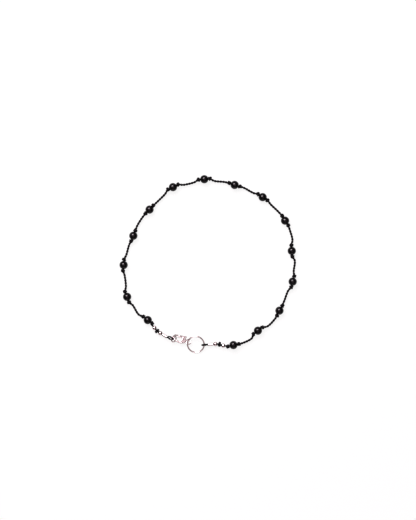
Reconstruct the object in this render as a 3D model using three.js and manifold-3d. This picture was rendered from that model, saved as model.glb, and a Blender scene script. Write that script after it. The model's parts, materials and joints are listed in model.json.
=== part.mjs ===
// A knotted cord anklet that lies as a loop on a surface. Fifteen drilled black stone beads are
// spaced along a twisted black cord, each held by a knot on either side. At both ends the cord
// runs through two small silver beads and a silver tube and returns round a ring as a loop.
// A silver lobster clasp, hung on the large ring, hooks the small ring and closes the anklet.
//
// Millimetres, +Z up. The surface is z = 0 and the origin is the middle of the loop on it.
// The order round the loop runs anticlockwise from the large ring, seen from above.

import * as THREE from "three";
import { mergeVertices } from "three/addons/utils/BufferGeometryUtils.js";
import Module from "manifold-3d";

const wasm = await Module();
wasm.setup();

// ---------------------------------------------------------------- driving dimensions

const CORD = {
  radius: 0.53,        // between the beads
  thinRadius: 0.36,    // where it is pulled tight through the silver beads and tubes
  loopRadius: 0.42,    // in the end loops
  sides: 6,
  step: 2.9,           // length of one straight facet
  thinStep: 1.1,
  loopSteps: 9,         // on each strand of an end loop
  sag: 0.6,            // drop half-way between two stone beads
  handle: 0.36,        // how far a bend leans on the direction of its ends, of their distance
};

const STONE_BEAD = { radius: 2.05, bore: 0.68, sides: 12, rings: 8, straight: 2.5 };
const SILVER_BEAD = { radius: 1.1, bore: 0.52, sides: 10, rings: 6, straight: 0.9 };
const SILVER_TUBE = { radius: 0.7, bore: 0.52, length: 2.5, sides: 12, straight: 1.45 };

// A knot is a large lobe tight against the bead and a smaller one where the cord leaves it.
const KNOT = {
  segments: 7,
  rings: 4,
  nearLobe: { gap: 0.67, half: 0.6, radius: 1, aside: 0.05, lift: -0.06 },
  farLobe: { gap: 1.4, half: 0.5, radius: 0.8, aside: 0.22, lift: 0.1 },
  single: { half: 0.72, radius: 1.18 },
};

// A ring's radius is to the middle of its wire.
const LARGE_RING = {
  radius: 4.17,
  wire: 0.325,
  centre: [-6.2, -39.95, 1.46],
  turn: -18.5,
  tilt: 14,
  segments: 32,
};
const SMALL_RING = {
  radius: 1.55,
  wire: 0.28,
  centre: [-17.2, -37.2, 2.2],
  turn: 72,
  tilt: 47,
  segments: 18,
};
const WIRE_SIDES = 6;

// The clasp lies in its own plane: the eye's centre is its origin, the claw points to -x, the
// lever is on the +y side, and z is across its thickness.
const CLASP = {
  centre: [-9.87, -38.72, 1.46],
  turn: -18.5,
  roll: -24,
  eyeRadius: 1.2,
  eyeWire: 0.27,
  eyeSegments: 20,
  thickness: 1.3,
  edge: 0.2,
  cheekRadius: 0.76,    // round the pin
  clawRadius: 0.42,
  clawSteps: 14,
  slot: { width: 0.72, length: 2, floor: 0.75, height: 4 },  // floor is below the pin
};
const LEVER = { pivot: [-2.75, 1.35], thickness: 0.5, edge: 0.1 };
const PIN = { radius: 0.25, hole: 0.33, length: 1.36, sides: 12 };

// What is strung on the cord, in order. x, y and z are the centre of the piece. bows says how far
// the cord stands out from the straight line to the next piece, away from the loop's middle, at
// places that share the line evenly.
const STRUNG = [
  { name: "silver_tube_right", kind: SILVER_TUBE, x: 1.2, y: -39.95, z: 1.5, bows: [] },
  { name: "silver_bead_1", kind: SILVER_BEAD, x: 3.65, y: -39.8, z: 1.4, bows: [-0.3] },
  { name: "silver_bead_2", kind: SILVER_BEAD, x: 7.55, y: -40.55, z: 1.5, bows: [0.3] },
  { name: "bead_01", kind: STONE_BEAD, x: 12.6, y: -40.25, z: 2.05, bows: [1.55, 1.8] },
  { name: "bead_02", kind: STONE_BEAD, x: 24.85, y: -33.05, z: 2.05, bows: [1.7, 1.6] },
  { name: "bead_03", kind: STONE_BEAD, x: 35.6, y: -23.05, z: 2.05, bows: [0.2, -0.15] },
  { name: "bead_04", kind: STONE_BEAD, x: 42.2, y: -8.55, z: 2.05, bows: [0.7, 1.4] },
  { name: "bead_05", kind: STONE_BEAD, x: 41.75, y: 6.8, z: 2.05, bows: [1.55, 1.35] },
  { name: "bead_06", kind: STONE_BEAD, x: 38.4, y: 21.9, z: 2.05, bows: [0.7, 0.45] },
  { name: "bead_07", kind: STONE_BEAD, x: 27.2, y: 33.65, z: 2.05, bows: [0.1, 0.55] },
  { name: "bead_08", kind: STONE_BEAD, x: 13.2, y: 39.75, z: 2.05, bows: [0.55, 0.1] },
  { name: "bead_09", kind: STONE_BEAD, x: -1.95, y: 42.6, z: 2.05, bows: [-0.25, -0.15] },
  { name: "bead_10", kind: STONE_BEAD, x: -17.6, y: 38.65, z: 2.05, bows: [0.25, 0.15] },
  { name: "bead_11", kind: STONE_BEAD, x: -29.3, y: 27.45, z: 2.05, bows: [1, 1] },
  { name: "bead_12", kind: STONE_BEAD, x: -37.4, y: 14.35, z: 2.05, bows: [0.6, 0.35] },
  { name: "bead_13", kind: STONE_BEAD, x: -42.25, y: -0.25, z: 2.05, bows: [0.1, 0.05] },
  { name: "bead_14", kind: STONE_BEAD, x: -40.5, y: -16.15, z: 2.05, bows: [0.75, 1.6] },
  { name: "bead_15", kind: STONE_BEAD, x: -30.2, y: -27.75, z: 2.05, bows: [0.05] },
  { name: "silver_bead_3", kind: SILVER_BEAD, x: -26.85, y: -31.7, z: 1.5, bows: [0.25] },
  { name: "silver_bead_4", kind: SILVER_BEAD, x: -23.95, y: -34.3, z: 1.5, bows: [] },
  { name: "silver_tube_left", kind: SILVER_TUBE, x: -21.75, y: -35.6, z: 2.0, bows: [] },
];

// The end loops: one strand goes from the tube's mouth over the ring's wire and down through the
// ring, and the other comes back to the mouth under the wire.
const END_LOOPS = [
  {
    over: [
      [-0.32, -40.04, 1.62], [-0.65, -40.05, 1.8], [-1.25, -40.05, 2.38],
      [-2.05, -40.1, 2.66], [-2.78, -40.2, 2.28], [-3.0, -40.25, 1.7], [-2.92, -40.3, 1.42],
    ],
    under: [
      [-3.0, -40.25, 1.8], [-2.75, -40.33, 1.16], [-2.0, -40.35, 0.83],
      [-1.2, -40.2, 0.92], [-0.65, -40.08, 1.3], [-0.32, -40.04, 1.47],
    ],
  },
  {
    over: [
      [-20.5, -36.33, 2.35], [-20.1, -36.15, 2.8], [-19.4, -35.95, 3.5],
      [-18.6, -36.2, 4.12], [-17.85, -36.7, 4.15], [-17.32, -37.0, 3.55], [-17.36, -37.0, 3.1],
    ],
    under: [
      [-17.32, -37.0, 3.6], [-17.45, -37.08, 2.75], [-18.1, -37.5, 2.34],
      [-19.1, -37.25, 2.12], [-20.0, -36.65, 2.2], [-20.5, -36.33, 2.28],
    ],
  },
];

const STONE = { color: 0x121013, roughness: 0.12, metalness: 0 };
const SILVER = { color: 0xe6e1df, roughness: 0.12, metalness: 1 };
const BLACK_CORD = { color: 0x1b161c, roughness: 0.8, metalness: 0 };

// ---------------------------------------------------------------- solids and placing

const UP = new THREE.Vector3(0, 0, 1);
const LATHE_AXIS = new THREE.Vector3(0, 1, 0);
const radians = THREE.MathUtils.degToRad;

// Turns a three.js geometry into a solid that can be joined and cut.
function solid(geometry) {
  geometry.deleteAttribute("normal");
  geometry.deleteAttribute("uv");
  const merged = mergeVertices(geometry);
  return new wasm.Manifold(new wasm.Mesh({
    numProp: 3,
    vertProperties: new Float32Array(merged.attributes.position.array),
    triVerts: new Uint32Array(merged.index.array),
  }));
}

function geometryOf(body) {
  const mesh = body.getMesh();
  const geometry = new THREE.BufferGeometry();
  geometry.setAttribute("position", new THREE.BufferAttribute(mesh.vertProperties, 3));
  geometry.setIndex(new THREE.BufferAttribute(mesh.triVerts, 1));
  return geometry;
}

function piece(name, geometry, finish) {
  const mesh = new THREE.Mesh(geometry, new THREE.MeshStandardMaterial(finish));
  mesh.name = name;
  return mesh;
}

function roundSection(radius, sides) {
  const corners = [];
  for (let side = 0; side < sides; side += 1) {
    const angle = (2 * Math.PI * side) / sides;
    corners.push(new THREE.Vector2(radius * Math.cos(angle), radius * Math.sin(angle)));
  }
  return new THREE.Shape(corners);
}

function tubeAlong(path, radius, sides, steps) {
  const section = roundSection(radius, sides);
  return solid(new THREE.ExtrudeGeometry(section, { steps, extrudePath: path, bevelEnabled: false }));
}

// A round bar across the clasp's thickness.
function crossBar(radius, length, sides, [x, y]) {
  const geometry = new THREE.CylinderGeometry(radius, radius, length, sides);
  return geometry.rotateX(Math.PI / 2).translate(x, y, 0);
}

// A flat plate with bevelled edges, centred on z = 0.
function plate(outline, thickness, edge) {
  const geometry = new THREE.ExtrudeGeometry(outline, {
    depth: thickness - 2 * edge,
    bevelEnabled: true,
    bevelThickness: edge,
    bevelSize: edge,
    bevelOffset: -edge,
    bevelSegments: 1,
    curveSegments: 5,
    steps: 1,
  });
  return solid(geometry.translate(0, 0, edge - thickness / 2));
}

// ---------------------------------------------------------------- route of the cord

// Adds to each strung piece its centre, and the cord's bends between it and the next.
function addPlaces(strung) {
  for (const item of strung) {
    item.centre = new THREE.Vector3(item.x, item.y, item.z);
  }
  for (let index = 0; index < strung.length - 1; index += 1) {
    const here = strung[index];
    const next = strung[index + 1];
    const span = next.centre.clone().sub(here.centre).setZ(0).normalize();
    const outward = span.clone().cross(UP);
    const bothStone = here.kind === STONE_BEAD && next.kind === STONE_BEAD;
    here.bends = here.bows.map((bow, number) => {
      const share = (number + 1) / (here.bows.length + 1);
      const place = here.centre.clone().lerp(next.centre, share).addScaledVector(outward, bow);
      place.z -= bothStone ? CORD.sag : 0;
      return place;
    });
    here.outward = outward;
  }
}

// A piece is strung in line with the cord on both sides of it.
function addHeadings(strung) {
  strung.forEach((item, index) => {
    const before = strung[index - 1]?.bends.at(-1) ?? strung[index - 1]?.centre ?? item.centre;
    const after = item.bends?.[0] ?? strung[index + 1]?.centre ?? item.centre;
    item.heading = after.clone().sub(before).setZ(0).normalize();
    if (item.kind !== STONE_BEAD) {
      item.heading = after.clone().sub(before).normalize();
    }
    item.entry = item.centre.clone().addScaledVector(item.heading, -item.kind.straight);
    item.exit = item.centre.clone().addScaledVector(item.heading, item.kind.straight);
  });
}

function bend(from, fromHeading, to, toHeading) {
  const reach = CORD.handle * from.distanceTo(to);
  const leave = from.clone().addScaledVector(fromHeading, reach);
  const arrive = to.clone().addScaledVector(toHeading, -reach);
  return new THREE.CubicBezierCurve3(from, leave, arrive, to);
}

// The cord from one end of the first piece to the far end of the last: straight through every
// piece, and bent between them through the places where it stands out.
function cordPath(pieces) {
  const path = new THREE.CurvePath();
  pieces.forEach((item, index) => {
    path.add(new THREE.LineCurve3(item.entry, item.exit));
    const next = pieces[index + 1];
    if (!next) {
      return;
    }
    const places = [item.exit, ...item.bends, next.entry];
    const headings = places.map((place, number) => {
      const before = places[Math.max(number - 1, 0)];
      const after = places[Math.min(number + 1, places.length - 1)];
      return after.clone().sub(before).normalize();
    });
    headings[0] = item.heading;
    headings[places.length - 1] = next.heading;
    for (let number = 1; number < places.length; number += 1) {
      path.add(bend(places[number - 1], headings[number - 1], places[number], headings[number]));
    }
  });
  return path;
}

addPlaces(STRUNG);
addHeadings(STRUNG);

// ---------------------------------------------------------------- cord, knots and end loops

// One lobe: a ball squashed along the cord's heading.
function lobe(centre, heading, { half, radius }) {
  const ball = new THREE.SphereGeometry(1, KNOT.segments, KNOT.rings);
  const turn = new THREE.Quaternion().setFromUnitVectors(LATHE_AXIS, heading);
  const place = new THREE.Matrix4().compose(centre, turn, new THREE.Vector3(radius, half, radius));
  return solid(ball.applyMatrix4(place));
}

// The two lobes of the knot on one side of a stone bead; way is +1 after the bead, -1 before.
function beadKnot(bead, outward, way) {
  return [KNOT.nearLobe, KNOT.farLobe].map((part) => {
    const centre = bead.centre.clone();
    centre.addScaledVector(bead.heading, way * (bead.kind.radius + part.gap));
    centre.addScaledVector(outward, part.aside);
    centre.z += part.lift;
    return lobe(centre, bead.heading, part);
  });
}

function cordSolid() {
  const stones = STRUNG.filter((item) => item.kind === STONE_BEAD);
  const firstStone = STRUNG.indexOf(stones[0]);
  const lastStone = STRUNG.indexOf(stones.at(-1));
  const stretches = [
    { pieces: STRUNG.slice(0, firstStone + 1), radius: CORD.thinRadius, step: CORD.thinStep },
    { pieces: STRUNG.slice(firstStone, lastStone + 1), radius: CORD.radius, step: CORD.step },
    { pieces: STRUNG.slice(lastStone), radius: CORD.thinRadius, step: CORD.thinStep },
  ];
  const bodies = stretches.map(({ pieces, radius, step }) => {
    const path = cordPath(pieces);
    const steps = Math.ceil(path.getLength() / step);
    return tubeAlong(path, radius, CORD.sides, steps);
  });
  for (const route of END_LOOPS.flatMap((loop) => [loop.over, loop.under])) {
    const path = new THREE.CatmullRomCurve3(route.map((xyz) => new THREE.Vector3(...xyz)));
    bodies.push(tubeAlong(path, CORD.loopRadius, CORD.sides, CORD.loopSteps));
  }
  for (const stone of stones) {
    const before = STRUNG[STRUNG.indexOf(stone) - 1];
    bodies.push(...beadKnot(stone, before.outward, -1));
    bodies.push(...beadKnot(stone, stone.outward, 1));
  }
  for (const item of STRUNG) {
    const next = STRUNG[STRUNG.indexOf(item) + 1];
    if (item.kind === SILVER_BEAD && next?.kind === SILVER_BEAD) {
      const heading = next.centre.clone().sub(item.centre).normalize();
      bodies.push(lobe(item.bends[0], heading, KNOT.single));
    }
  }
  return bodies.reduce((joined, body) => joined.add(body));
}

// ---------------------------------------------------------------- beads, tubes and rings

// A ball or tube with a bore, turned about the lathe's axis.
function drilledBall({ radius, bore, sides, rings }) {
  const profile = [];
  const lowest = Math.acos(bore / radius);
  for (let ring = 0; ring <= rings; ring += 1) {
    const angle = -lowest + (2 * lowest * ring) / rings;
    profile.push(new THREE.Vector2(radius * Math.cos(angle), radius * Math.sin(angle)));
  }
  profile.push(profile[0].clone());
  return new THREE.LatheGeometry(profile, sides);
}

function drilledTube({ radius, bore, length, sides }) {
  const corners = [[bore, -1], [radius, -1], [radius, 1], [bore, 1], [bore, -1]];
  const profile = corners.map(([across, end]) => new THREE.Vector2(across, (end * length) / 2));
  return new THREE.LatheGeometry(profile, sides);
}

function strungPiece(item) {
  const isTube = item.kind === SILVER_TUBE;
  const geometry = isTube ? drilledTube(item.kind) : drilledBall(item.kind);
  const mesh = piece(item.name, geometry, item.kind === STONE_BEAD ? STONE : SILVER);
  mesh.position.copy(item.centre);
  mesh.quaternion.setFromUnitVectors(LATHE_AXIS, item.heading);
  return mesh;
}

// A wire ring that leans: turn is the direction of the level line through its middle.
function wireRing(name, { radius, wire, centre, turn, tilt, segments }) {
  const geometry = new THREE.TorusGeometry(radius, wire, WIRE_SIDES, segments);
  const mesh = piece(name, geometry, SILVER);
  mesh.position.set(...centre);
  mesh.rotation.set(radians(tilt), 0, radians(turn), "ZYX");
  return mesh;
}

// ---------------------------------------------------------------- clasp

// The flat middle of the clasp, from the eye's neck to the two cheeks that hold the lever.
function bodyOutline() {
  const [pivotX, pivotY] = LEVER.pivot;
  const cheek = CLASP.cheekRadius;
  const outline = new THREE.Shape();
  outline.moveTo(-1.12, -0.42);
  outline.lineTo(-1.12, 0.42);
  outline.quadraticCurveTo(-1.85, 0.55, pivotX + cheek, pivotY);
  outline.absarc(pivotX, pivotY, cheek, 0, Math.PI, false);
  outline.lineTo(pivotX - cheek, -0.9);
  outline.quadraticCurveTo(-3.6, -1.2, -4.1, -1.22);
  outline.lineTo(-4.1, -1.98);
  outline.quadraticCurveTo(-2.1, -1.95, -1.12, -0.42);
  return outline;
}

function clawPath() {
  const route = [
    [-3.0, -1.5], [-4.4, -1.62], [-6.1, -1.42], [-7.4, -0.75],
    [-7.8, 0.15], [-7.45, 1.0], [-6.7, 1.45], [-5.75, 1.56],
  ];
  return new THREE.CatmullRomCurve3(route.map(([x, y]) => new THREE.Vector3(x, y, 0)));
}

function claspBody() {
  const { eyeRadius, eyeWire, eyeSegments, slot } = CLASP;
  const eye = solid(new THREE.TorusGeometry(eyeRadius, eyeWire, WIRE_SIDES, eyeSegments));
  const claw = tubeAlong(clawPath(), CLASP.clawRadius, WIRE_SIDES, CLASP.clawSteps);
  const [pivotX, pivotY] = LEVER.pivot;
  const slotBox = new THREE.BoxGeometry(slot.length, slot.height, slot.width);
  slotBox.translate(pivotX, pivotY - slot.floor + slot.height / 2, 0);
  const hole = crossBar(PIN.hole, 2 * CLASP.thickness, PIN.sides, LEVER.pivot);
  const middle = plate(bodyOutline(), CLASP.thickness, CLASP.edge);
  return middle.subtract(solid(slotBox)).subtract(solid(hole)).add(eye).add(claw);
}

// The lever seen flat: thumb tab, hub, arm, and a nose that lies behind the claw's tip.
function leverOutline() {
  const outline = new THREE.Shape();
  outline.moveTo(-2.2, 1.15);
  outline.lineTo(-1.7, 1.85);
  outline.quadraticCurveTo(-1.5, 2.3, -1.85, 2.45);
  outline.quadraticCurveTo(-2.3, 2.5, -2.6, 2.0);
  outline.lineTo(-3.2, 2.0);
  outline.quadraticCurveTo(-4.4, 2.0, -5.5, 1.86);
  outline.lineTo(-5.5, 1.02);
  outline.lineTo(-5.95, 0.98);
  outline.quadraticCurveTo(-6.3, 0.75, -5.95, 0.5);
  outline.quadraticCurveTo(-4.8, 1.05, -3.4, 1.0);
  outline.quadraticCurveTo(-3.1, 0.75, -2.75, 0.75);
  outline.quadraticCurveTo(-2.3, 0.75, -2.2, 1.15);
  return outline;
}

function claspLever() {
  const hole = crossBar(PIN.hole, 2 * LEVER.thickness, PIN.sides, LEVER.pivot);
  return plate(leverOutline(), LEVER.thickness, LEVER.edge).subtract(solid(hole));
}

function clasp() {
  const group = new THREE.Group();
  group.position.set(...CLASP.centre);
  group.rotation.set(radians(CLASP.roll), 0, radians(CLASP.turn), "ZYX");
  group.add(piece("clasp_body", geometryOf(claspBody()), SILVER));
  group.add(piece("clasp_lever", geometryOf(claspLever()), SILVER));
  group.add(piece("clasp_pin", crossBar(PIN.radius, PIN.length, PIN.sides, LEVER.pivot), SILVER));
  return group;
}

// ---------------------------------------------------------------- assembly

const anklet = new THREE.Group();
anklet.add(piece("cord", geometryOf(cordSolid()), BLACK_CORD));
anklet.add(...STRUNG.map(strungPiece));
anklet.add(wireRing("large_ring", LARGE_RING));
anklet.add(wireRing("small_ring", SMALL_RING));
anklet.add(clasp());

export default anklet;
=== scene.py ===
import json
import math

import bmesh
import bpy
from mathutils import Matrix, Vector


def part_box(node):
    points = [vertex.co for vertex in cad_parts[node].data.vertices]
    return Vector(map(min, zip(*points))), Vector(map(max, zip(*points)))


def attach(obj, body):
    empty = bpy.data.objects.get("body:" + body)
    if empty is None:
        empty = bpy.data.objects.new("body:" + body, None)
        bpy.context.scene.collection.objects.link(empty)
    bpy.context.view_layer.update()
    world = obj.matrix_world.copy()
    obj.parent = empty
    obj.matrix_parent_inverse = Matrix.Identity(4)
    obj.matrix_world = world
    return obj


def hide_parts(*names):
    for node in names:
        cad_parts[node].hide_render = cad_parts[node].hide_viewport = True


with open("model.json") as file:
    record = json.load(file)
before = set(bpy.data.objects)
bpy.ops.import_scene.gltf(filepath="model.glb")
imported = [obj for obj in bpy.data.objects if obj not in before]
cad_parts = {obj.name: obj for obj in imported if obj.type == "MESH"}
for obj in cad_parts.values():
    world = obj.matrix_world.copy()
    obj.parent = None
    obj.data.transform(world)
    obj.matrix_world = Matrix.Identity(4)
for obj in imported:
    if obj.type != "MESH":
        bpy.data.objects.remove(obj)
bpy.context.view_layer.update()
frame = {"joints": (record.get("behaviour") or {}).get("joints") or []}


# ---------------------------------------------------------------- the table and its light
# The anklet lies on a table of white opal acrylic lit from below, seen from straight above. A
# soft box hangs behind it and a low strip light stands in front. The ceiling is white and the
# walls are dark, most of all in two corners, which draws the outlines of the silver.

MM = 0.001                         # sizes are written in millimetres, and objects are in metres
VIEW_CENTRE = Vector((-0.1, 2.25, 1.5)) * MM
VIEW_HEIGHT = 260 * MM
LENS_MM = 100
SENSOR_MM = 36
TABLE_COLOUR = "#4c4c4c"           # far darker than opal acrylic, so that shadows on it stay faint
TABLE_GLOW = 0.9
TABLE_SIDE = 4.0                   # metres
TABLE_GRAIN = 0.6 * MM
LAMP_COLOUR = "#fff6fb"
LAMPS = {                          # places and sizes in metres, power in watts
    "soft box": {"place": Vector((-0.27, 0.57, 0.79)), "width": 0.8, "height": 0.62, "power": 17},
    "low strip": {"place": Vector((0.1, -1.0, 0.22)), "width": 1.2, "height": 0.25, "power": 2},
}
ROOM_COLOUR = "#fff0f2"
WALL_LIGHT = 0.06
CEILING_LIGHT = 1.0
CEILING_EDGE = (0.45, 0.95)        # heights in the room, from 0 at the table to 1 overhead
CORNER_DIRECTION = Vector((0.75, 0.66, 0))
CORNER_SPREAD = 2                  # a higher power makes the dark corners narrower
CORNER_SHADE = 0.6                 # share of the light that is lost in the corners
VIEW_GAMMA = 0.65                  # below 1 it deepens the mid tones


def linear(colour):
    """The linear colour of an sRGB hex value."""
    parts = [int(colour[start:start + 2], 16) / 255 for start in (1, 3, 5)]
    return [
        part / 12.92 if part <= 0.04045 else ((part + 0.055) / 1.055) ** 2.4 for part in parts
    ] + [1]


def add_node(tree, kind, inputs=None, **settings):
    """Adds a node, sets it, and gives each input its value or links it to another node's output."""
    made = tree.nodes.new(kind)
    for name, value in settings.items():
        setattr(made, name, value)
    for name, value in (inputs or {}).items():
        if isinstance(value, bpy.types.NodeSocket):
            tree.links.new(value, made.inputs[name])
        else:
            made.inputs[name].default_value = value
    return made


def new_material(name):
    """A new material without any nodes, and its node tree."""
    material = bpy.data.materials.new(name)
    material.use_nodes = True
    material.node_tree.nodes.clear()
    return material, material.node_tree


def opal_acrylic():
    """White opal acrylic lit from below: an even white that almost drowns the shadows on it."""
    material, tree = new_material("opal acrylic, lit from below")
    place = add_node(tree, "ShaderNodeTexCoord")
    grain = add_node(tree, "ShaderNodeTexNoise", {
        "Vector": place.outputs["Object"], "Scale": 1 / TABLE_GRAIN,
    })
    relief = add_node(tree, "ShaderNodeBump", {"Height": grain.outputs["Fac"], "Distance": 0.01 * MM})
    surface = add_node(tree, "ShaderNodeBsdfPrincipled", {
        "Base Color": linear(TABLE_COLOUR),
        "Roughness": 0.9,
        "Specular IOR Level": 0.1,
        "Emission Color": (1, 1, 1, 1),
        "Emission Strength": TABLE_GLOW,
        "Normal": relief.outputs["Normal"],
    })
    add_node(tree, "ShaderNodeOutputMaterial", {"Surface": surface.outputs["BSDF"]})
    return material


def set_table():
    half = TABLE_SIDE / 2
    mesh = bpy.data.meshes.new("table")
    corners = [(-half, -half, 0), (half, -half, 0), (half, half, 0), (-half, half, 0)]
    mesh.from_pydata(corners, [], [(0, 1, 2, 3)])
    mesh.materials.append(opal_acrylic())
    table = bpy.data.objects.new("table", mesh)
    bpy.context.collection.objects.link(table)


def light_room():
    world = bpy.data.worlds.new("white ceiling and dark walls")
    bpy.context.scene.world = world
    world.use_nodes = True
    tree = world.node_tree
    tree.nodes.clear()
    direction = add_node(tree, "ShaderNodeTexCoord").outputs["Generated"]
    height = add_node(tree, "ShaderNodeSeparateXYZ", {"Vector": direction}).outputs["Z"]
    light = add_node(tree, "ShaderNodeMapRange", {
        "Value": height,
        "From Min": CEILING_EDGE[0],
        "From Max": CEILING_EDGE[1],
        "To Min": WALL_LIGHT,
        "To Max": CEILING_LIGHT,
    }, interpolation_type="SMOOTHSTEP").outputs["Result"]
    towards = add_node(tree, "ShaderNodeVectorMath", {0: direction, 1: CORNER_DIRECTION.normalized()},
                       operation="DOT_PRODUCT").outputs["Value"]
    either = add_node(tree, "ShaderNodeMath", {0: towards}, operation="ABSOLUTE").outputs[0]
    corner = add_node(tree, "ShaderNodeMath", {0: either, 1: CORNER_SPREAD}, operation="POWER").outputs[0]
    lost = add_node(tree, "ShaderNodeMath", {0: corner, 1: CORNER_SHADE}, operation="MULTIPLY").outputs[0]
    kept = add_node(tree, "ShaderNodeMath", {0: 1, 1: lost}, operation="SUBTRACT").outputs[0]
    strength = add_node(tree, "ShaderNodeMath", {0: light, 1: kept}, operation="MULTIPLY").outputs[0]
    background = add_node(tree, "ShaderNodeBackground", {"Color": linear(ROOM_COLOUR), "Strength": strength})
    add_node(tree, "ShaderNodeOutputWorld", {"Surface": background.outputs["Background"]})


def hang_lamps():
    for name, size in LAMPS.items():
        lamp = bpy.data.lights.new(name, "AREA")
        lamp.shape = "RECTANGLE"
        lamp.size = size["width"]
        lamp.size_y = size["height"]
        lamp.energy = size["power"]
        lamp.color = linear(LAMP_COLOUR)[:3]
        stand = bpy.data.objects.new(name, lamp)
        stand.location = size["place"]
        stand.rotation_euler = size["place"].to_track_quat("Z", "Y").to_euler()
        bpy.context.collection.objects.link(stand)


def hang_camera():
    lens = bpy.data.cameras.new("camera")
    lens.lens = LENS_MM
    lens.sensor_width = SENSOR_MM
    lens.clip_start = 0.01
    camera = bpy.data.objects.new("camera", lens)
    camera.location = VIEW_CENTRE + Vector((0, 0, VIEW_HEIGHT * LENS_MM / SENSOR_MM))
    bpy.context.collection.objects.link(camera)
    bpy.context.scene.camera = camera


set_table()
light_room()
hang_lamps()
hang_camera()
bpy.context.scene.view_settings.view_transform = "Standard"
bpy.context.scene.view_settings.gamma = VIEW_GAMMA


# ---------------------------------------------------------------- the cord
# A black waxed nylon cord of two strands laid round each other, each spun from three yarns. It
# runs straight through every bead. At both ends it is pulled thin through the silver beads and
# comes back out of the silver tube as a loop round the ring.

STRAND_RADIUS = 0.285 * MM
STRAND_OFFSET = 0.25 * MM    # from the cord's middle to each strand's
LAY = 2.75 * MM              # length of one whole turn of the two strands
YARN_LAY = -1.7 * MM         # spun the other way, so the yarns lie nearly along the cord
YARNS = 3
YARN_DEPTH = 0.075           # of the strand's radius
CORD_STEP = 0.12 * MM
CORD_SIDES = 12
THIN = 0.72                  # of the full thickness, inside the silver beads and tubes
SAG = 0.6 * MM               # how far the cord hangs down between two stone beads
HANDLE = 0.36                # of the way to the next bend, which sets how softly the cord bends

STONE_RADIUS = 2.05 * MM
STONE_RUN = 2.5 * MM         # straight cord on either side of a stone bead's centre
BALL_RUN = 0.9 * MM
TUBE_RUN = 1.45 * MM

# Each piece on the cord, in order, with its straight run, and how far the cord then stands out
# from the straight line to the next piece, away from the loop's middle, at places that share
# the line evenly.
STRUNG = [
    {"node": "silver_tube_right", "run": TUBE_RUN, "bows": []},
    {"node": "silver_bead_1", "run": BALL_RUN, "bows": [-0.3 * MM]},
    {"node": "silver_bead_2", "run": BALL_RUN, "bows": [0.3 * MM]},
    {"node": "bead_01", "run": STONE_RUN, "bows": [1.55 * MM, 1.8 * MM]},
    {"node": "bead_02", "run": STONE_RUN, "bows": [1.7 * MM, 1.6 * MM]},
    {"node": "bead_03", "run": STONE_RUN, "bows": [0.2 * MM, -0.15 * MM]},
    {"node": "bead_04", "run": STONE_RUN, "bows": [0.7 * MM, 1.4 * MM]},
    {"node": "bead_05", "run": STONE_RUN, "bows": [1.55 * MM, 1.35 * MM]},
    {"node": "bead_06", "run": STONE_RUN, "bows": [0.7 * MM, 0.45 * MM]},
    {"node": "bead_07", "run": STONE_RUN, "bows": [0.1 * MM, 0.55 * MM]},
    {"node": "bead_08", "run": STONE_RUN, "bows": [0.55 * MM, 0.1 * MM]},
    {"node": "bead_09", "run": STONE_RUN, "bows": [-0.25 * MM, -0.15 * MM]},
    {"node": "bead_10", "run": STONE_RUN, "bows": [0.25 * MM, 0.15 * MM]},
    {"node": "bead_11", "run": STONE_RUN, "bows": [1 * MM, 1 * MM]},
    {"node": "bead_12", "run": STONE_RUN, "bows": [0.6 * MM, 0.35 * MM]},
    {"node": "bead_13", "run": STONE_RUN, "bows": [0.1 * MM, 0.05 * MM]},
    {"node": "bead_14", "run": STONE_RUN, "bows": [0.75 * MM, 1.6 * MM]},
    {"node": "bead_15", "run": STONE_RUN, "bows": [0.05 * MM]},
    {"node": "silver_bead_3", "run": BALL_RUN, "bows": [0.25 * MM]},
    {"node": "silver_bead_4", "run": BALL_RUN, "bows": []},
    {"node": "silver_tube_left", "run": TUBE_RUN, "bows": []},
]

# The strands of the end loops, from the tube's mouth over the ring's wire and back under it.
END_LOOPS = [
    {"name": "end_loop_right", "thickness": 0.84, "route": [
        (-0.32, -40.04, 1.62), (-0.65, -40.05, 1.8), (-1.25, -40.05, 2.38),
        (-2.05, -40.1, 2.66), (-2.78, -40.2, 2.28), (-3.0, -40.25, 1.7), (-2.75, -40.33, 1.16),
        (-2.0, -40.35, 0.83), (-1.2, -40.2, 0.92), (-0.65, -40.08, 1.3), (-0.32, -40.04, 1.47),
    ]},
    {"name": "end_loop_left", "thickness": 0.7, "route": [
        (-20.5, -36.33, 2.35), (-20.1, -36.15, 2.8), (-19.4, -35.95, 3.5),
        (-18.6, -36.2, 4.12), (-17.85, -36.7, 4.15), (-17.32, -37.0, 3.55), (-17.45, -37.08, 2.75),
        (-18.1, -37.5, 2.34), (-19.1, -37.25, 2.12), (-20.0, -36.65, 2.2), (-20.5, -36.33, 2.28),
    ]},
]


def is_stone(item):
    return item["run"] == STONE_RUN


def place_strung():
    """Adds each piece's centre, its heading along the cord, and the cord's bends after it."""
    for item in STRUNG:
        low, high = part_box(item["node"])
        item["centre"] = (Vector(low) + Vector(high)) / 2
    for here, after in zip(STRUNG, STRUNG[1:]):
        span = after["centre"] - here["centre"]
        span.z = 0
        here["outward"] = span.normalized().cross(Vector((0, 0, 1)))
        here["bends"] = []
        for number, bow in enumerate(here["bows"], 1):
            share = number / (len(here["bows"]) + 1)
            bend = here["centre"].lerp(after["centre"], share) + here["outward"] * bow
            if is_stone(here) and is_stone(after):
                bend.z -= SAG
            here["bends"].append(bend)
    STRUNG[-1]["bends"] = []
    for before, item, after in zip(STRUNG[:1] + STRUNG, STRUNG, STRUNG[1:] + STRUNG[-1:]):
        start = (before["bends"] or [before["centre"]])[-1] if before is not item else item["centre"]
        heading = (item["bends"] or [after["centre"]])[0] - start
        if is_stone(item):
            heading.z = 0
        item["heading"] = heading.normalized()
        item["entry"] = item["centre"] - item["heading"] * item["run"]
        item["exit"] = item["centre"] + item["heading"] * item["run"]


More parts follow.
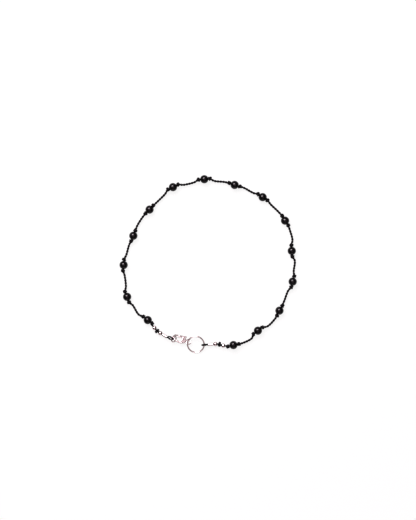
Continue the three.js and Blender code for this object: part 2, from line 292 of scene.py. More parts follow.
def cord_points(pieces):
    """The cord's bends as (place, direction) pairs, through the given pieces."""
    points = []
    for item, after in zip(pieces, pieces[1:] + [None]):
        points += [(item["entry"], item["heading"]), (item["exit"], item["heading"])]
        if after:
            places = [item["exit"], *item["bends"], after["entry"]]
            for before, place, following in zip(places, places[1:], places[2:]):
                points.append((place, (following - before).normalized()))
    return points


def new_curve(name):
    curve = bpy.data.curves.new(name, "CURVE")
    curve.dimensions = "3D"
    curve.resolution_u = 24
    return curve


def add_bends(curve, points, thickness):
    """Adds a spline that passes each place in its direction."""
    spline = curve.splines.new("BEZIER")
    spline.bezier_points.add(len(points) - 1)
    for index, (bend, (place, direction)) in enumerate(zip(spline.bezier_points, points)):
        before = points[max(index - 1, 0)][0]
        after = points[min(index + 1, len(points) - 1)][0]
        bend.co = place
        bend.handle_left = place - direction * HANDLE * (place - before).length
        bend.handle_right = place + direction * HANDLE * (after - place).length
        bend.radius = thickness


def add_route(curve, points, thickness):
    """Adds a spline that runs smoothly through the places."""
    spline = curve.splines.new("BEZIER")
    spline.bezier_points.add(len(points) - 1)
    for bend, place in zip(spline.bezier_points, points):
        bend.co = place
        bend.handle_left_type = bend.handle_right_type = "AUTO"
        bend.radius = thickness


def new_tree(name, sockets):
    """A Geometry Nodes tree with named inputs, its input node and its output node."""
    tree = bpy.data.node_groups.new(name, "GeometryNodeTree")
    tree.interface.new_socket("Geometry", in_out="INPUT", socket_type="NodeSocketGeometry")
    tree.interface.new_socket("Geometry", in_out="OUTPUT", socket_type="NodeSocketGeometry")
    for socket, kind in sockets.items():
        tree.interface.new_socket(socket, in_out="INPUT", socket_type="NodeSocket" + kind)
    return tree, tree.nodes.new("NodeGroupInput").outputs


def twisted_cord_tree():
    """Lays two strands of spun yarns round each curve."""
    tree, given = new_tree("twisted cord", {
        "Strand radius": "Float", "Strand offset": "Float", "Lay": "Float", "Yarn lay": "Float",
        "Yarn depth": "Float", "Yarns": "Int", "Sides": "Int", "Step": "Float", "Material": "Material",
    })
    rail = add_node(tree, "GeometryNodeResampleCurve", {
        "Curve": given["Geometry"], "Length": given["Step"],
    }, mode="LENGTH").outputs["Curve"]
    length = add_node(tree, "GeometryNodeSplineParameter").outputs["Length"]
    thickness = add_node(tree, "GeometryNodeInputRadius").outputs["Radius"]
    normal = add_node(tree, "GeometryNodeInputNormal").outputs["Normal"]
    tangent = add_node(tree, "GeometryNodeInputTangent").outputs["Tangent"]
    across = add_node(tree, "ShaderNodeVectorMath", {0: tangent, 1: normal}, operation="CROSS_PRODUCT")
    index = add_node(tree, "GeometryNodeInputIndex").outputs["Index"]

    circle = add_node(tree, "GeometryNodeCurvePrimitiveCircle", {
        "Resolution": given["Sides"], "Radius": given["Strand radius"],
    }).outputs["Curve"]
    share = add_node(tree, "ShaderNodeMath", {0: index, 1: given["Sides"]}, operation="DIVIDE").outputs[0]
    angle = add_node(tree, "ShaderNodeMath", {0: share, 1: 2 * math.pi}, operation="MULTIPLY").outputs[0]
    lobes = add_node(tree, "ShaderNodeMath", {0: angle, 1: given["Yarns"]}, operation="MULTIPLY").outputs[0]
    ridge = add_node(tree, "ShaderNodeMath", {0: lobes}, operation="COSINE").outputs[0]
    swell = add_node(tree, "ShaderNodeMath", {
        0: ridge, 1: given["Yarn depth"], 2: 1,
    }, operation="MULTIPLY_ADD").outputs[0]
    place = add_node(tree, "GeometryNodeInputPosition").outputs["Position"]
    lobed = add_node(tree, "ShaderNodeVectorMath", {0: place, "Scale": swell}, operation="SCALE")
    section = add_node(tree, "GeometryNodeSetPosition", {
        "Geometry": circle, "Position": lobed.outputs["Vector"],
    }).outputs["Geometry"]
    section = add_node(tree, "GeometryNodeStoreNamedAttribute", {
        "Geometry": section, "Name": "round_strand", "Value": angle,
    }).outputs["Geometry"]

    cord = add_node(tree, "GeometryNodeJoinGeometry")
    for phase in (0, math.pi):
        lays = add_node(tree, "ShaderNodeMath", {0: length, 1: given["Lay"]}, operation="DIVIDE").outputs[0]
        wound = add_node(tree, "ShaderNodeMath", {
            0: lays, 1: 2 * math.pi, 2: phase,
        }, operation="MULTIPLY_ADD").outputs[0]
        cosine = add_node(tree, "ShaderNodeMath", {0: wound}, operation="COSINE").outputs[0]
        sine = add_node(tree, "ShaderNodeMath", {0: wound}, operation="SINE").outputs[0]
        out = add_node(tree, "ShaderNodeVectorMath", {0: normal, "Scale": cosine}, operation="SCALE")
        aside = add_node(tree, "ShaderNodeVectorMath", {
            0: across.outputs["Vector"], "Scale": sine,
        }, operation="SCALE")
        around = add_node(tree, "ShaderNodeVectorMath", {
            0: out.outputs["Vector"], 1: aside.outputs["Vector"],
        })
        offset = add_node(tree, "ShaderNodeMath", {
            0: given["Strand offset"], 1: thickness,
        }, operation="MULTIPLY").outputs[0]
        shift = add_node(tree, "ShaderNodeVectorMath", {
            0: around.outputs["Vector"], "Scale": offset,
        }, operation="SCALE")
        strand = add_node(tree, "GeometryNodeSetPosition", {
            "Geometry": rail, "Offset": shift.outputs["Vector"],
        }).outputs["Geometry"]
        spun = add_node(tree, "ShaderNodeMath", {
            0: length, 1: given["Yarn lay"],
        }, operation="DIVIDE").outputs[0]
        spin = add_node(tree, "ShaderNodeMath", {0: spun, 1: 2 * math.pi}, operation="MULTIPLY").outputs[0]
        strand = add_node(tree, "GeometryNodeSetCurveTilt", {"Curve": strand, "Tilt": spin}).outputs["Curve"]
        along = add_node(tree, "ShaderNodeMath", {0: length, 1: phase}, operation="ADD").outputs[0]
        strand = add_node(tree, "GeometryNodeStoreNamedAttribute", {
            "Geometry": strand, "Name": "along_strand", "Value": along,
        }).outputs["Geometry"]
        tube = add_node(tree, "GeometryNodeCurveToMesh", {
            "Curve": strand, "Profile Curve": section, "Scale": thickness, "Fill Caps": True,
        })
        tree.links.new(tube.outputs["Mesh"], cord.inputs["Geometry"])

    angle_there = add_node(tree, "GeometryNodeInputNamedAttribute", {"Name": "round_strand"}).outputs[0]
    along_there = add_node(tree, "GeometryNodeInputNamedAttribute", {"Name": "along_strand"}).outputs[0]
    fibre = add_node(tree, "ShaderNodeCombineXYZ", {
        "X": add_node(tree, "ShaderNodeMath", {0: angle_there}, operation="COSINE").outputs[0],
        "Y": add_node(tree, "ShaderNodeMath", {0: angle_there}, operation="SINE").outputs[0],
        "Z": along_there,
    })
    mapped = add_node(tree, "GeometryNodeStoreNamedAttribute", {
        "Geometry": cord.outputs["Geometry"], "Name": "fibre", "Value": fibre.outputs["Vector"],
    }, data_type="FLOAT_VECTOR")
    smooth = add_node(tree, "GeometryNodeSetShadeSmooth", {"Geometry": mapped.outputs["Geometry"]})
    real = add_node(tree, "GeometryNodeRealizeInstances", {"Geometry": smooth.outputs["Geometry"]})
    finished = add_node(tree, "GeometryNodeSetMaterial", {
        "Geometry": real.outputs["Geometry"], "Material": given["Material"],
    })
    add_node(tree, "NodeGroupOutput", {"Geometry": finished.outputs["Geometry"]})
    return tree


def made_by(tree, name, data, values):
    """The plain mesh object that a tree makes from a mesh or curve with the given inputs."""
    source = bpy.data.objects.new(name + " source", data)
    bpy.context.collection.objects.link(source)
    modifier = source.modifiers.new(tree.name, "NODES")
    modifier.node_group = tree
    for item in tree.interface.items_tree:
        if item.in_out == "INPUT" and item.name in values:
            modifier[item.identifier] = values[item.name]
    evaluated = source.evaluated_get(bpy.context.evaluated_depsgraph_get())
    mesh = bpy.data.meshes.new_from_object(evaluated)
    mesh.name = name
    bpy.data.objects.remove(source)
    made = bpy.data.objects.new(name, mesh)
    bpy.context.collection.objects.link(made)
    return made


def waxed_nylon():
    """Black waxed nylon: fine filaments lie along the yarns, and the wax gives a low soft sheen."""
    material, tree = new_material("waxed black nylon cord")
    fibre = add_node(tree, "ShaderNodeAttribute", attribute_name="fibre").outputs["Vector"]
    stretched = add_node(tree, "ShaderNodeMapping", {"Vector": fibre, "Scale": (1, 1, 0.3 / MM)})
    filaments = add_node(tree, "ShaderNodeTexNoise", {
        "Vector": stretched.outputs["Vector"], "Scale": 5, "Detail": 3, "Roughness": 0.6,
    })
    shade = add_node(tree, "ShaderNodeValToRGB", {"Fac": filaments.outputs["Fac"]})
    shade.color_ramp.elements[0].position = 0.35
    shade.color_ramp.elements[0].color = linear("#080608")
    shade.color_ramp.elements[1].position = 0.7
    shade.color_ramp.elements[1].color = linear("#1d181f")
    relief = add_node(tree, "ShaderNodeBump", {
        "Height": filaments.outputs["Fac"], "Distance": 0.03 * MM, "Strength": 0.8,
    })
    surface = add_node(tree, "ShaderNodeBsdfPrincipled", {
        "Base Color": shade.outputs["Color"],
        "Roughness": 0.5,
        "IOR": 1.5,
        "Specular IOR Level": 0.35,
        "Sheen Weight": 0.05,
        "Sheen Roughness": 0.4,
        "Sheen Tint": linear("#a89cb0"),
        "Normal": relief.outputs["Normal"],
    })
    add_node(tree, "ShaderNodeOutputMaterial", {"Surface": surface.outputs["BSDF"]})
    return material


def lay_cord():
    stones = [item for item in STRUNG if is_stone(item)]
    first = STRUNG.index(stones[0])
    last = STRUNG.index(stones[-1])
    run = new_curve("cord run")
    run.twist_mode = "Z_UP"
    add_bends(run, cord_points(STRUNG[:first + 1]), THIN)
    add_bends(run, cord_points(STRUNG[first:last + 1]), 1)
    add_bends(run, cord_points(STRUNG[last:]), THIN)
    return run


place_strung()
TWISTED_CORD = twisted_cord_tree()
CORD_SIZES = {
    "Strand radius": STRAND_RADIUS,
    "Strand offset": STRAND_OFFSET,
    "Lay": LAY,
    "Yarn lay": YARN_LAY,
    "Yarn depth": YARN_DEPTH,
    "Yarns": YARNS,
    "Sides": CORD_SIDES,
    "Step": CORD_STEP,
    "Material": waxed_nylon(),
}
cord = made_by(TWISTED_CORD, "twisted_cord", lay_cord(), CORD_SIZES)
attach(cord, "loop")
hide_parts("cord")

for loop in END_LOOPS:
    curve = new_curve(loop["name"])
    add_route(curve, [Vector(place) * MM for place in loop["route"]], loop["thickness"])
    end_loop = made_by(TWISTED_CORD, loop["name"], curve, CORD_SIZES)
    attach(end_loop, "loop")


# ---------------------------------------------------------------- the knots
# The cord is knotted tight against both sides of every stone bead, and once between the two
# silver beads at each end. Pulled hard, it goes round itself twice and crosses back over.

KNOT_CORD = 0.8              # of the cord's full thickness, because the knot is pulled tight
KNOT_CORD_STEP = 0.13 * MM
KNOT_TURNS = 2.15
KNOT_BACK_TURNS = 0.6
KNOT_POINTS = 44
KNOT_SIDES = 9
KNOT_START = 0.24 * MM       # from the bead's surface to the first turn
KNOT_LENGTH = 1.1 * MM
KNOT_NEAR_RADIUS = 0.74 * MM
KNOT_FAR_RADIUS = 0.5 * MM
KNOT_OVER = 0.12 * MM        # how far the crossing turn stands off the others
KNOT_CROSSING = 0.75         # of the knot's length, which the crossing turn goes back over
KNOT_ENDS = (0.65, 0.4)      # of the full radius, where the winding starts and where it ends
KNOT_WIDENING = 8            # how fast the winding reaches its full radius from either end
KNOT_ASIDE = 0.14 * MM       # how far the far end lies to the outer side
KNOT_LIFT = 0.06 * MM
KNOT_PHASE = 2.4             # radians from one bead's knots to the next, so that none are alike
SINGLE_KNOT_LENGTH = 0.7 * MM
SINGLE_KNOT_RADIUS = 0.82 * MM


def knot_route(start, heading, outward, length, near_radius, far_radius, aside, phase):
    """The places along a cord that winds round an axis and crosses back over its own turns."""
    up = outward.cross(heading).normalized()
    aside_way = heading.cross(up).normalized()
    all_turns = KNOT_TURNS + KNOT_BACK_TURNS
    first, last = KNOT_ENDS
    places = []
    for point in range(KNOT_POINTS + 1):
        share = point / KNOT_POINTS
        wound = share * all_turns
        forward = min(wound / KNOT_TURNS, 1)
        back = max(wound - KNOT_TURNS, 0) / KNOT_BACK_TURNS
        reach = forward - KNOT_CROSSING * back
        radius = near_radius + (far_radius - near_radius) * reach
        radius += KNOT_OVER * math.sin(math.pi * back)
        radius *= min(1, first + KNOT_WIDENING * share, last + KNOT_WIDENING * (1 - share))
        angle = 2 * math.pi * wound + phase
        middle = start + heading * length * reach + aside_way * aside * reach + up * KNOT_LIFT * reach
        places.append(middle + up * radius * math.cos(angle) + aside_way * radius * math.sin(angle))
    return places


def tie_knots():
    knots = new_curve("knot turns")
    for number, item in enumerate(STRUNG):
        if is_stone(item):
            sides = ((-1, STRUNG[number - 1]["outward"]), (1, item["outward"]))
            for way, outward in sides:
                heading = item["heading"] * way
                start = item["centre"] + heading * (STONE_RADIUS + KNOT_START)
                phase = KNOT_PHASE * number + way
                add_route(knots, knot_route(start, heading, outward, KNOT_LENGTH, KNOT_NEAR_RADIUS,
                                            KNOT_FAR_RADIUS, KNOT_ASIDE, phase), KNOT_CORD)
        elif number + 1 < len(STRUNG) and STRUNG[number + 1]["run"] == item["run"]:
            heading = (STRUNG[number + 1]["centre"] - item["centre"]).normalized()
            start = item["bends"][0] - heading * SINGLE_KNOT_LENGTH / 2
            add_route(knots, knot_route(start, heading, item["outward"], SINGLE_KNOT_LENGTH,
                                        SINGLE_KNOT_RADIUS, SINGLE_KNOT_RADIUS, 0, number), KNOT_CORD)
    return knots


knots = made_by(TWISTED_CORD, "cord_knots", tie_knots(), {
    **CORD_SIZES, "Sides": KNOT_SIDES, "Step": KNOT_CORD_STEP, "Lay": LAY * KNOT_CORD,
})
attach(knots, "loop")


# ---------------------------------------------------------------- the stone beads
# Fifteen round beads of black onyx, ground in a ball mill, drilled from both sides and polished.
# Each is threaded on the cord and held by the knots beside it.

STONE_BORE = 0.6 * MM              # radius of the hole, as for the other bores
STONE_CHAMFER = 0.1 * MM
STONE_SEGMENTS = 64
STONE_RINGS = 40
SHARP_ANGLE = math.radians(35)     # an edge that bends more than this stays crisp


def drilled_ball(name, radius, bore, chamfer, rings, segments):
    """A ball turned about Z with a bore through it, whose mouths are chamfered."""
    lowest = math.acos((bore + chamfer) / radius)
    profile = []
    for ring in range(rings + 1):
        angle = lowest * (1 - 2 * ring / rings)
        profile.append((radius * math.cos(angle), radius * math.sin(angle)))
    mouth = radius * math.sin(lowest) - chamfer
    profile += [(bore, -mouth), (bore, mouth)]
    return turned(name, profile, segments)


def turned(name, profile, segments):
    """A closed solid from a closed profile of (radius, height) pairs turned about Z."""
    ring = len(profile)
    places = []
    for segment in range(segments):
        angle = 2 * math.pi * segment / segments
        cosine, sine = math.cos(angle), math.sin(angle)
        places += [(radius * cosine, radius * sine, height) for radius, height in profile]
    faces = []
    for segment in range(segments):
        here, after = segment * ring, (segment + 1) % segments * ring
        for spot in range(ring):
            above = (spot + 1) % ring
            faces.append((here + spot, here + above, after + above, after + spot))
    mesh = bpy.data.meshes.new(name)
    mesh.from_pydata(places, [], faces)
    turn_faces_out(mesh)
    return mesh


def turn_faces_out(mesh):
    shell = bmesh.new()
    shell.from_mesh(mesh)
    bmesh.ops.recalc_face_normals(shell, faces=shell.faces)
    shell.to_mesh(mesh)
    shell.free()


def stringing_tree():
    """Puts a turned piece at one numbered point of the cord, in line with the cord there."""
    tree, given = new_tree("strung on the cord", {
        "Piece": "Object", "Number": "Int", "Sharp angle": "Float", "Material": "Material",
    })
    index = add_node(tree, "GeometryNodeInputIndex").outputs["Index"]
    chosen = add_node(tree, "FunctionNodeCompare", {2: index, 3: given["Number"]},
                      data_type="INT", operation="EQUAL")
    piece = add_node(tree, "GeometryNodeObjectInfo", {"Object": given["Piece"]})
    heading = add_node(tree, "GeometryNodeInputNamedAttribute", {"Name": "heading"},
                       data_type="FLOAT_VECTOR").outputs[0]
    turn = add_node(tree, "FunctionNodeAlignRotationToVector", {"Vector": heading}, axis="Z")
    strung = add_node(tree, "GeometryNodeInstanceOnPoints", {
        "Points": given["Geometry"],
        "Selection": chosen.outputs["Result"],
        "Instance": piece.outputs["Geometry"],
        "Rotation": turn.outputs["Rotation"],
    })
    real = add_node(tree, "GeometryNodeRealizeInstances", {"Geometry": strung.outputs["Instances"]})
    smooth = add_node(tree, "GeometryNodeSetShadeSmooth", {"Geometry": real.outputs["Geometry"]})
    bend = add_node(tree, "GeometryNodeInputMeshEdgeAngle").outputs["Unsigned Angle"]
    sharp = add_node(tree, "ShaderNodeMath", {
        0: bend, 1: given["Sharp angle"],
    }, operation="GREATER_THAN").outputs[0]
    edged = add_node(tree, "GeometryNodeSetShadeSmooth", {
        "Geometry": smooth.outputs["Geometry"], "Selection": sharp, "Shade Smooth": False,
    }, domain="EDGE")
    finished = add_node(tree, "GeometryNodeSetMaterial", {
        "Geometry": edged.outputs["Geometry"], "Material": given["Material"],
    })
    add_node(tree, "NodeGroupOutput", {"Geometry": finished.outputs["Geometry"]})
    return tree


def stringing_points():
    """A mesh with one point for each piece on the cord, and the cord's heading at each."""
    mesh = bpy.data.meshes.new("stringing points")
    mesh.from_pydata([item["centre"] for item in STRUNG], [], [])
    headings = mesh.attributes.new("heading", "FLOAT_VECTOR", "POINT")
    for item, entry in zip(STRUNG, headings.data):
        entry.vector = item["heading"]
    return mesh


def string_pieces(prefix, wanted, pattern, material):
    """Strings copies of a turned mesh at every wanted piece, each standing for its own node."""
    template = bpy.data.objects.new("template", pattern)
    for number, item in enumerate(STRUNG):
        if not wanted(item):
            continue
        strung = made_by(STRINGING, prefix + item["node"], STRINGING_POINTS, {
            "Piece": template, "Number": number, "Sharp angle": SHARP_ANGLE, "Material": material,
        })
        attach(strung, "loop")
        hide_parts(item["node"])
    bpy.data.objects.remove(template)


def polished_onyx():
    """Black onyx polished to a gloss: nearly black, with faint greyer bands below the surface."""
    material, tree = new_material("polished black onyx")
    place = add_node(tree, "ShaderNodeTexCoord").outputs["Object"]
    cloud = add_node(tree, "ShaderNodeTexNoise", {
        "Vector": place, "Scale": 1 / (1.6 * MM), "Detail": 4, "Distortion": 1.2,
    }).outputs["Fac"]
    shade = add_node(tree, "ShaderNodeValToRGB", {"Fac": cloud})
    shade.color_ramp.elements[0].position = 0.4
    shade.color_ramp.elements[0].color = linear("#080608")
    shade.color_ramp.elements[1].position = 0.75
    shade.color_ramp.elements[1].color = linear("#1c181d")
    lap_marks = add_node(tree, "ShaderNodeTexNoise", {
        "Vector": place, "Scale": 1 / (0.25 * MM), "Detail": 5,
    })
    gloss = add_node(tree, "ShaderNodeMapRange", {
        "Value": lap_marks.outputs["Fac"], "To Min": 0.18, "To Max": 0.28,
    })
    relief = add_node(tree, "ShaderNodeBump", {
        "Height": lap_marks.outputs["Fac"], "Distance": 0.002 * MM, "Strength": 0.5,
    })
    surface = add_node(tree, "ShaderNodeBsdfPrincipled", {
        "Base Color": shade.outputs["Color"],
        "Roughness": gloss.outputs["Result"],
        "IOR": 1.54,
        "Specular IOR Level": 0.58,
        "Normal": relief.outputs["Normal"],
    })
    add_node(tree, "ShaderNodeOutputMaterial", {"Surface": surface.outputs["BSDF"]})
    return material


STRINGING = stringing_tree()
STRINGING_POINTS = stringing_points()
stone = drilled_ball("stone", STONE_RADIUS, STONE_BORE, STONE_CHAMFER, STONE_RINGS, STONE_SEGMENTS)
string_pieces("onyx_", is_stone, stone, polished_onyx())


# ---------------------------------------------------------------- the silver beads and tubes
# Small round beads and short plain tubes of sterling silver. The beads are pressed from sheet
# and soldered, and the tubes are cut from drawn pipe with their ends smoothed.

BALL_RADIUS = 1.1 * MM
BALL_BORE = 0.5 * MM
BALL_LIP = 0.06 * MM
BALL_SEGMENTS = 48
BALL_RINGS = 28
TUBE_RADIUS = 0.7 * MM
TUBE_BORE = 0.52 * MM
TUBE_LENGTH = 2.5 * MM
TUBE_ROUND = 0.08 * MM
TUBE_SEGMENTS = 40
SILVER_COLOUR = "#d6cccc"    # darker and rosier than clean silver
SILVER_POLISH = 0.12
SCRATCH_DULLING = 0.14       # how much rougher the scratches are than the polish


def silver(name, dents_mm, dents_depth):
    """Sterling silver: a pale metal with a faint rose cast. Wear leaves hair-fine scratches, and
    soft dents bend what it mirrors."""
    material, tree = new_material(name)
    place = add_node(tree, "ShaderNodeTexCoord").outputs["Object"]
    dents = add_node(tree, "ShaderNodeTexNoise", {
        "Vector": place, "Scale": 1 / (dents_mm * MM), "Detail": 1,
    })
    hairlines = add_node(tree, "ShaderNodeMapping", {"Vector": place, "Scale": (1, 0.15, 1)})
    scratches = add_node(tree, "ShaderNodeTexNoise", {
        "Vector": hairlines.outputs["Vector"], "Scale": 1 / (0.06 * MM), "Detail": 4,
    })
    gloss = add_node(tree, "ShaderNodeMapRange", {
        "Value": scratches.outputs["Fac"],
        "To Min": SILVER_POLISH,
        "To Max": SILVER_POLISH + SCRATCH_DULLING,
    })
    dented = add_node(tree, "ShaderNodeBump", {"Height": dents.outputs["Fac"], "Distance": dents_depth})
    scratched = add_node(tree, "ShaderNodeBump", {
        "Height": scratches.outputs["Fac"], "Distance": 0.0015 * MM, "Normal": dented.outputs["Normal"],
    })
    surface = add_node(tree, "ShaderNodeBsdfPrincipled", {
        "Base Color": linear(SILVER_COLOUR),
        "Metallic": 1,
        "Roughness": gloss.outputs["Result"],
        "Normal": scratched.outputs["Normal"],
    })
    add_node(tree, "ShaderNodeOutputMaterial", {"Surface": surface.outputs["BSDF"]})
    return material


def is_ball(item):
    return item["run"] == BALL_RUN


def is_tube(item):
    return item["run"] == TUBE_RUN


def cut_tube():
    half = TUBE_LENGTH / 2
    corners = [
        (TUBE_BORE, half), (TUBE_RADIUS - TUBE_ROUND, half), (TUBE_RADIUS, half - TUBE_ROUND),
        (TUBE_RADIUS, TUBE_ROUND - half), (TUBE_RADIUS - TUBE_ROUND, -half), (TUBE_BORE, -half),
    ]
    return turned("tube", corners, TUBE_SEGMENTS)


SHEET_SILVER = silver("pressed sterling silver", dents_mm=0.7, dents_depth=0.004 * MM)
ball = drilled_ball("ball", BALL_RADIUS, BALL_BORE, BALL_LIP, BALL_RINGS, BALL_SEGMENTS)
string_pieces("bright_", is_ball, ball, SHEET_SILVER)
string_pieces("bright_", is_tube, cut_tube(), SHEET_SILVER)


# ---------------------------------------------------------------- the rings
# Two rings bent from drawn silver wire, each closed with a butt joint. The large one is held by
# the right end loop, and the clasp hangs on it. The clasp hooks the small one.

RINGS = {
    "large_ring": {"radius": 4.17 * MM, "wire": 0.325 * MM, "turn": -18.5, "tilt": 14, "joint": 200},
    "small_ring": {"radius": 1.55 * MM, "wire": 0.28 * MM, "turn": 72, "tilt": 47, "joint": 60},
}
RING_JOINT_GAP = 0.03 * MM
RING_STEPS = 128
RING_SIDES = 24


def wire_ring_tree():
    """Sweeps a round wire along each curve."""
    tree, given = new_tree("bent wire", {"Wire radius": "Float", "Sides": "Int", "Material": "Material"})
    section = add_node(tree, "GeometryNodeCurvePrimitiveCircle", {
        "Resolution": given["Sides"], "Radius": given["Wire radius"],
    })
    wire = add_node(tree, "GeometryNodeCurveToMesh", {
        "Curve": given["Geometry"], "Profile Curve": section.outputs["Curve"], "Fill Caps": True,
    })
    smooth = add_node(tree, "GeometryNodeSetShadeSmooth", {"Geometry": wire.outputs["Mesh"]})
    real = add_node(tree, "GeometryNodeRealizeInstances", {"Geometry": smooth.outputs["Geometry"]})
    finished = add_node(tree, "GeometryNodeSetMaterial", {
        "Geometry": real.outputs["Geometry"], "Material": given["Material"],
    })
    add_node(tree, "NodeGroupOutput", {"Geometry": finished.outputs["Geometry"]})
    return tree


def placed(centre, turn, tilt):
    """Leans a flat piece by tilt about X, turns it about Z and puts it at its centre."""
    lean = Matrix.Rotation(math.radians(tilt), 4, "X")
    return Matrix.Translation(centre) @ Matrix.Rotation(math.radians(turn), 4, "Z") @ lean


def ring_curve(name, radius, turn, tilt, joint):
    """An open circle whose ends meet at the joint's angle."""
    low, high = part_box(name)
    place = placed((Vector(low) + Vector(high)) / 2, turn, tilt)
    gap = RING_JOINT_GAP / radius
    curve = new_curve(name)
    spline = curve.splines.new("POLY")
    spline.points.add(RING_STEPS)
    for step, point in enumerate(spline.points):
        angle = math.radians(joint) + gap / 2 + (2 * math.pi - gap) * step / RING_STEPS
        flat = Vector((radius * math.cos(angle), radius * math.sin(angle), 0))
        point.co = (*(place @ flat), 1)
    return curve


WIRE_RING = wire_ring_tree()
DRAWN_SILVER = silver("drawn sterling silver wire", dents_mm=1.5, dents_depth=0.004 * MM)
for name, ring in RINGS.items():
    curve = ring_curve(name, ring["radius"], ring["turn"], ring["tilt"], ring["joint"])
    wire = made_by(WIRE_RING, "bright_" + name, curve, {
        "Wire radius": ring["wire"], "Sides": RING_SIDES, "Material": DRAWN_SILVER,
    })
    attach(wire, "loop")
    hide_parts(name)


# ---------------------------------------------------------------- the clasp
# A lobster clasp, its body and lever each cast in sterling silver and tumbled smooth. The eye
# hangs on the large ring and the claw hooks the small one. The lever turns on a riveted pin.
# It is modelled flat in millimetres round its eye: claw to -X, lever on the +Y side.

CLASP_TURN = -18.5
CLASP_ROLL = -24
CLASP_THICKNESS = 1.3
CHEEK_THICKNESS = 0.3
CHEEK_RADIUS = 0.76
CLASP_EDGE = 0.16
CHEEK_EDGE = 0.1
SLOT_PLAY = 0.02             # between the slot's floor and the lever's hub
NECK = [(-1.12, -0.42), (-1.12, 0.42)]
PIVOT = Vector((-2.75, 1.35, 0))
EYE_RADIUS = 1.2
EYE_WIRE = 0.27
EYE_POINTS = 8
LEVER_THICKNESS = 0.5
LEVER_EDGE = 0.13
PIN_RADIUS = 0.25
PIN_LENGTH = 1.38
PIN_DOME = 0.05              # height of the riveted head's dome
PIN_CROWN = 0.7              # of the pin's radius, where the dome has dropped a little
PIN_CROWN_DROP = 0.3         # of the dome's height
PIN_SEGMENTS = 32
AXIS_GAP = 0.001             # keeps a turned profile just off its axis
CLAW = [
    {"x": -3.0, "y": -1.5, "radius": 0.46},
    {"x": -4.4, "y": -1.62, "radius": 0.44},
    {"x": -6.1, "y": -1.42, "radius": 0.42},
    {"x": -7.4, "y": -0.75, "radius": 0.42},
    {"x": -7.8, "y": 0.15, "radius": 0.41},
    {"x": -7.45, "y": 1.0, "radius": 0.4},
    {"x": -6.7, "y": 1.45, "radius": 0.38},
    {"x": -5.95, "y": 1.56, "radius": 0.36},
]
CAST_GRAIN = 0.04            # side of the cubes that the parts of a casting are fused in
CAST_SOFTENING = 8
LEVEL = 1e-6                 # an edge whose ends differ less than this in height lies flat


def curved(start, lean, end, steps=8):
    """Points after start along a bend that leans towards a corner."""
    shares = [(step + 1) / steps for step in range(steps)]
    return [
        ((1 - s) ** 2 * start[0] + 2 * s * (1 - s) * lean[0] + s * s * end[0],
         (1 - s) ** 2 * start[1] + 2 * s * (1 - s) * lean[1] + s * s * end[1])
        for s in shares
    ]


def half_round(centre, radius, start, end, steps=16):
    angles = [math.radians(start + (end - start) * step / steps) for step in range(steps + 1)]
    return [(centre.x + radius * math.cos(a), centre.y + radius * math.sin(a)) for a in angles]


def belly_outline():
    """Down to the claw's root, across it, and back along the belly to the neck."""
    points = [(PIVOT.x - CHEEK_RADIUS, -0.9)]
    points += curved(points[-1], (-3.6, -1.2), (-4.1, -1.22))
    points.append((-4.1, -1.98))
    points += curved(points[-1], (-2.1, -1.95), NECK[0])[:-1]
    return points


def cheek_outline():
    """From the neck at the eye, round the pin, and down to where the claw begins."""
    points = NECK + curved(NECK[-1], (-1.85, 0.55), (PIVOT.x + CHEEK_RADIUS, PIVOT.y))
    points += half_round(PIVOT, CHEEK_RADIUS, 0, 180)[1:]
    return points + belly_outline()


def core_outline():
    """The full thickness below the slot that the lever turns in."""
    floor = PIVOT.y - CHEEK_RADIUS - SLOT_PLAY
    points = NECK + curved(NECK[-1], (-1.6, 0.5), (-1.95, floor))
    points.append((PIVOT.x - CHEEK_RADIUS, floor))
    return points + belly_outline()


def lever_outline():
    """Thumb tab, hub round the pin, arm, and the nose behind the claw's tip."""
    points = [(-2.2, 1.15), (-1.7, 1.85)]
    points += curved(points[-1], (-1.5, 2.3), (-1.85, 2.45))
    points += curved(points[-1], (-2.3, 2.5), (-2.6, 2.0))
    points.append((-3.2, 2.0))
    points += curved(points[-1], (-4.4, 2.0), (-5.5, 1.86))
    points += [(-5.5, 1.02), (-5.95, 0.98)]
    points += curved(points[-1], (-6.3, 0.75), (-5.95, 0.5))
    points += curved(points[-1], (-4.8, 1.05), (-3.4, 1.0))
    points += curved(points[-1], (-3.1, 0.75), (-2.75, 0.75))
    points += curved(points[-1], (-2.3, 0.75), (-2.2, 1.15))[:-1]
    return points


def add_plate(shell, outline, low, high, edge):
    """Adds a flat plate between two heights to a bmesh, with its edges rounded off."""
    corners = [shell.verts.new((x, y, low)) for x, y in outline]
    bottom = shell.faces.new(corners)
    grown = bmesh.ops.extrude_face_region(shell, geom=[bottom])["geom"]
    raised = [item for item in grown if isinstance(item, bmesh.types.BMVert)]
    bmesh.ops.translate(shell, verts=raised, vec=(0, 0, high - low))
    rims = [link for vert in corners + raised for link in vert.link_edges]
    flat_rims = {link for link in rims if abs(link.verts[0].co.z - link.verts[1].co.z) < LEVEL}
    bmesh.ops.bevel(shell, geom=list(flat_rims), offset=edge, segments=3, profile=0.5, affect="EDGES")


def add_rod(shell, places, radii, cyclic=False):
    """Adds a round rod of changing thickness through the places to a bmesh."""
    curve = new_curve("rod")
    curve.bevel_depth = 1
    curve.bevel_resolution = 6
    curve.use_fill_caps = True
    spline = curve.splines.new("BEZIER")
    spline.bezier_points.add(len(places) - 1)
    spline.use_cyclic_u = cyclic
    for bend, place, radius in zip(spline.bezier_points, places, radii):
        bend.co = place
        bend.handle_left_type = bend.handle_right_type = "AUTO"
        bend.radius = radius
    rod = bpy.data.objects.new("rod", curve)
    mesh = bpy.data.meshes.new_from_object(rod)
    shell.from_mesh(mesh)
    bpy.data.objects.remove(rod)
    bpy.data.meshes.remove(mesh)


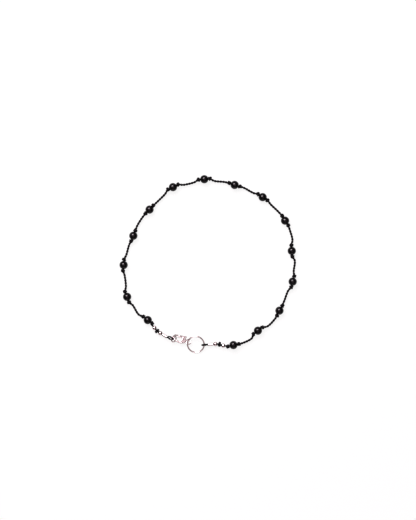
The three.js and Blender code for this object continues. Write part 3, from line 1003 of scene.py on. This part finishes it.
def cast(name, shell, place, material, body, node):
    """Fuses the parts in a bmesh to one smooth casting and puts it in its place."""
    mesh = bpy.data.meshes.new(name)
    bmesh.ops.recalc_face_normals(shell, faces=shell.faces)
    shell.to_mesh(mesh)
    shell.free()
    rough = bpy.data.objects.new("rough " + name, mesh)
    bpy.context.collection.objects.link(rough)
    fuse = rough.modifiers.new("fuse", "REMESH")
    fuse.mode = "VOXEL"
    fuse.voxel_size = CAST_GRAIN
    fuse.use_smooth_shade = True
    soften = rough.modifiers.new("soften", "SMOOTH")
    soften.factor = 0.5
    soften.iterations = CAST_SOFTENING
    evaluated = rough.evaluated_get(bpy.context.evaluated_depsgraph_get())
    finished = bpy.data.meshes.new_from_object(evaluated)
    bpy.data.objects.remove(rough)
    return finish_part(name, finished, place, material, body, node)


def finish_part(name, mesh, place, material, body, node):
    """Puts a mesh made in millimetres in its place, and says what it moves with and stands for."""
    mesh.name = name
    mesh.transform(place @ Matrix.Scale(MM, 4))
    mesh.materials.clear()
    mesh.materials.append(material)
    part = bpy.data.objects.new(name, mesh)
    bpy.context.collection.objects.link(part)
    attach(part, body)
    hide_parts(node)
    return part


def clasp_body_shell():
    shell = bmesh.new()
    half = CLASP_THICKNESS / 2
    add_plate(shell, core_outline(), -half, half, CLASP_EDGE)
    add_plate(shell, cheek_outline(), half - CHEEK_THICKNESS, half, CHEEK_EDGE)
    add_plate(shell, cheek_outline(), -half, CHEEK_THICKNESS - half, CHEEK_EDGE)
    angles = [2 * math.pi * step / EYE_POINTS for step in range(EYE_POINTS)]
    eye = [Vector((EYE_RADIUS * math.cos(a), EYE_RADIUS * math.sin(a), 0)) for a in angles]
    add_rod(shell, eye, [EYE_WIRE] * EYE_POINTS, cyclic=True)
    claw = [Vector((bend["x"], bend["y"], 0)) for bend in CLAW]
    add_rod(shell, claw, [bend["radius"] for bend in CLAW])
    return shell


def lever_shell():
    shell = bmesh.new()
    add_plate(shell, lever_outline(), -LEVER_THICKNESS / 2, LEVER_THICKNESS / 2, LEVER_EDGE)
    return shell


def pin_mesh():
    half = PIN_LENGTH / 2
    rim = half - PIN_DOME
    crown_radius = PIN_RADIUS * PIN_CROWN
    crown = half - PIN_CROWN_DROP * PIN_DOME
    upper = [(AXIS_GAP, half), (crown_radius, crown), (PIN_RADIUS, rim)]
    lower = [(radius, -height) for radius, height in reversed(upper)]
    mesh = turned("pin", upper + lower, PIN_SEGMENTS)
    mesh.transform(Matrix.Translation(PIVOT))
    mesh.shade_smooth()
    return mesh


CAST_SILVER = silver("cast sterling silver, tumbled", dents_mm=0.9, dents_depth=0.006 * MM)
hinge = next(joint for joint in frame["joints"] if joint["name"] == "lever_hinge")
clasp_place = placed((0, 0, 0), CLASP_TURN, CLASP_ROLL)
clasp_place = Matrix.Translation(Vector(hinge["pos_m"]) - clasp_place @ (PIVOT * MM)) @ clasp_place
cast("cast_clasp_body", clasp_body_shell(), clasp_place, CAST_SILVER, "loop", "clasp_body")
cast("cast_clasp_lever", lever_shell(), clasp_place, CAST_SILVER, "lever", "clasp_lever")
finish_part("riveted_clasp_pin", pin_mesh(), clasp_place, DRAWN_SILVER, "loop", "clasp_pin")
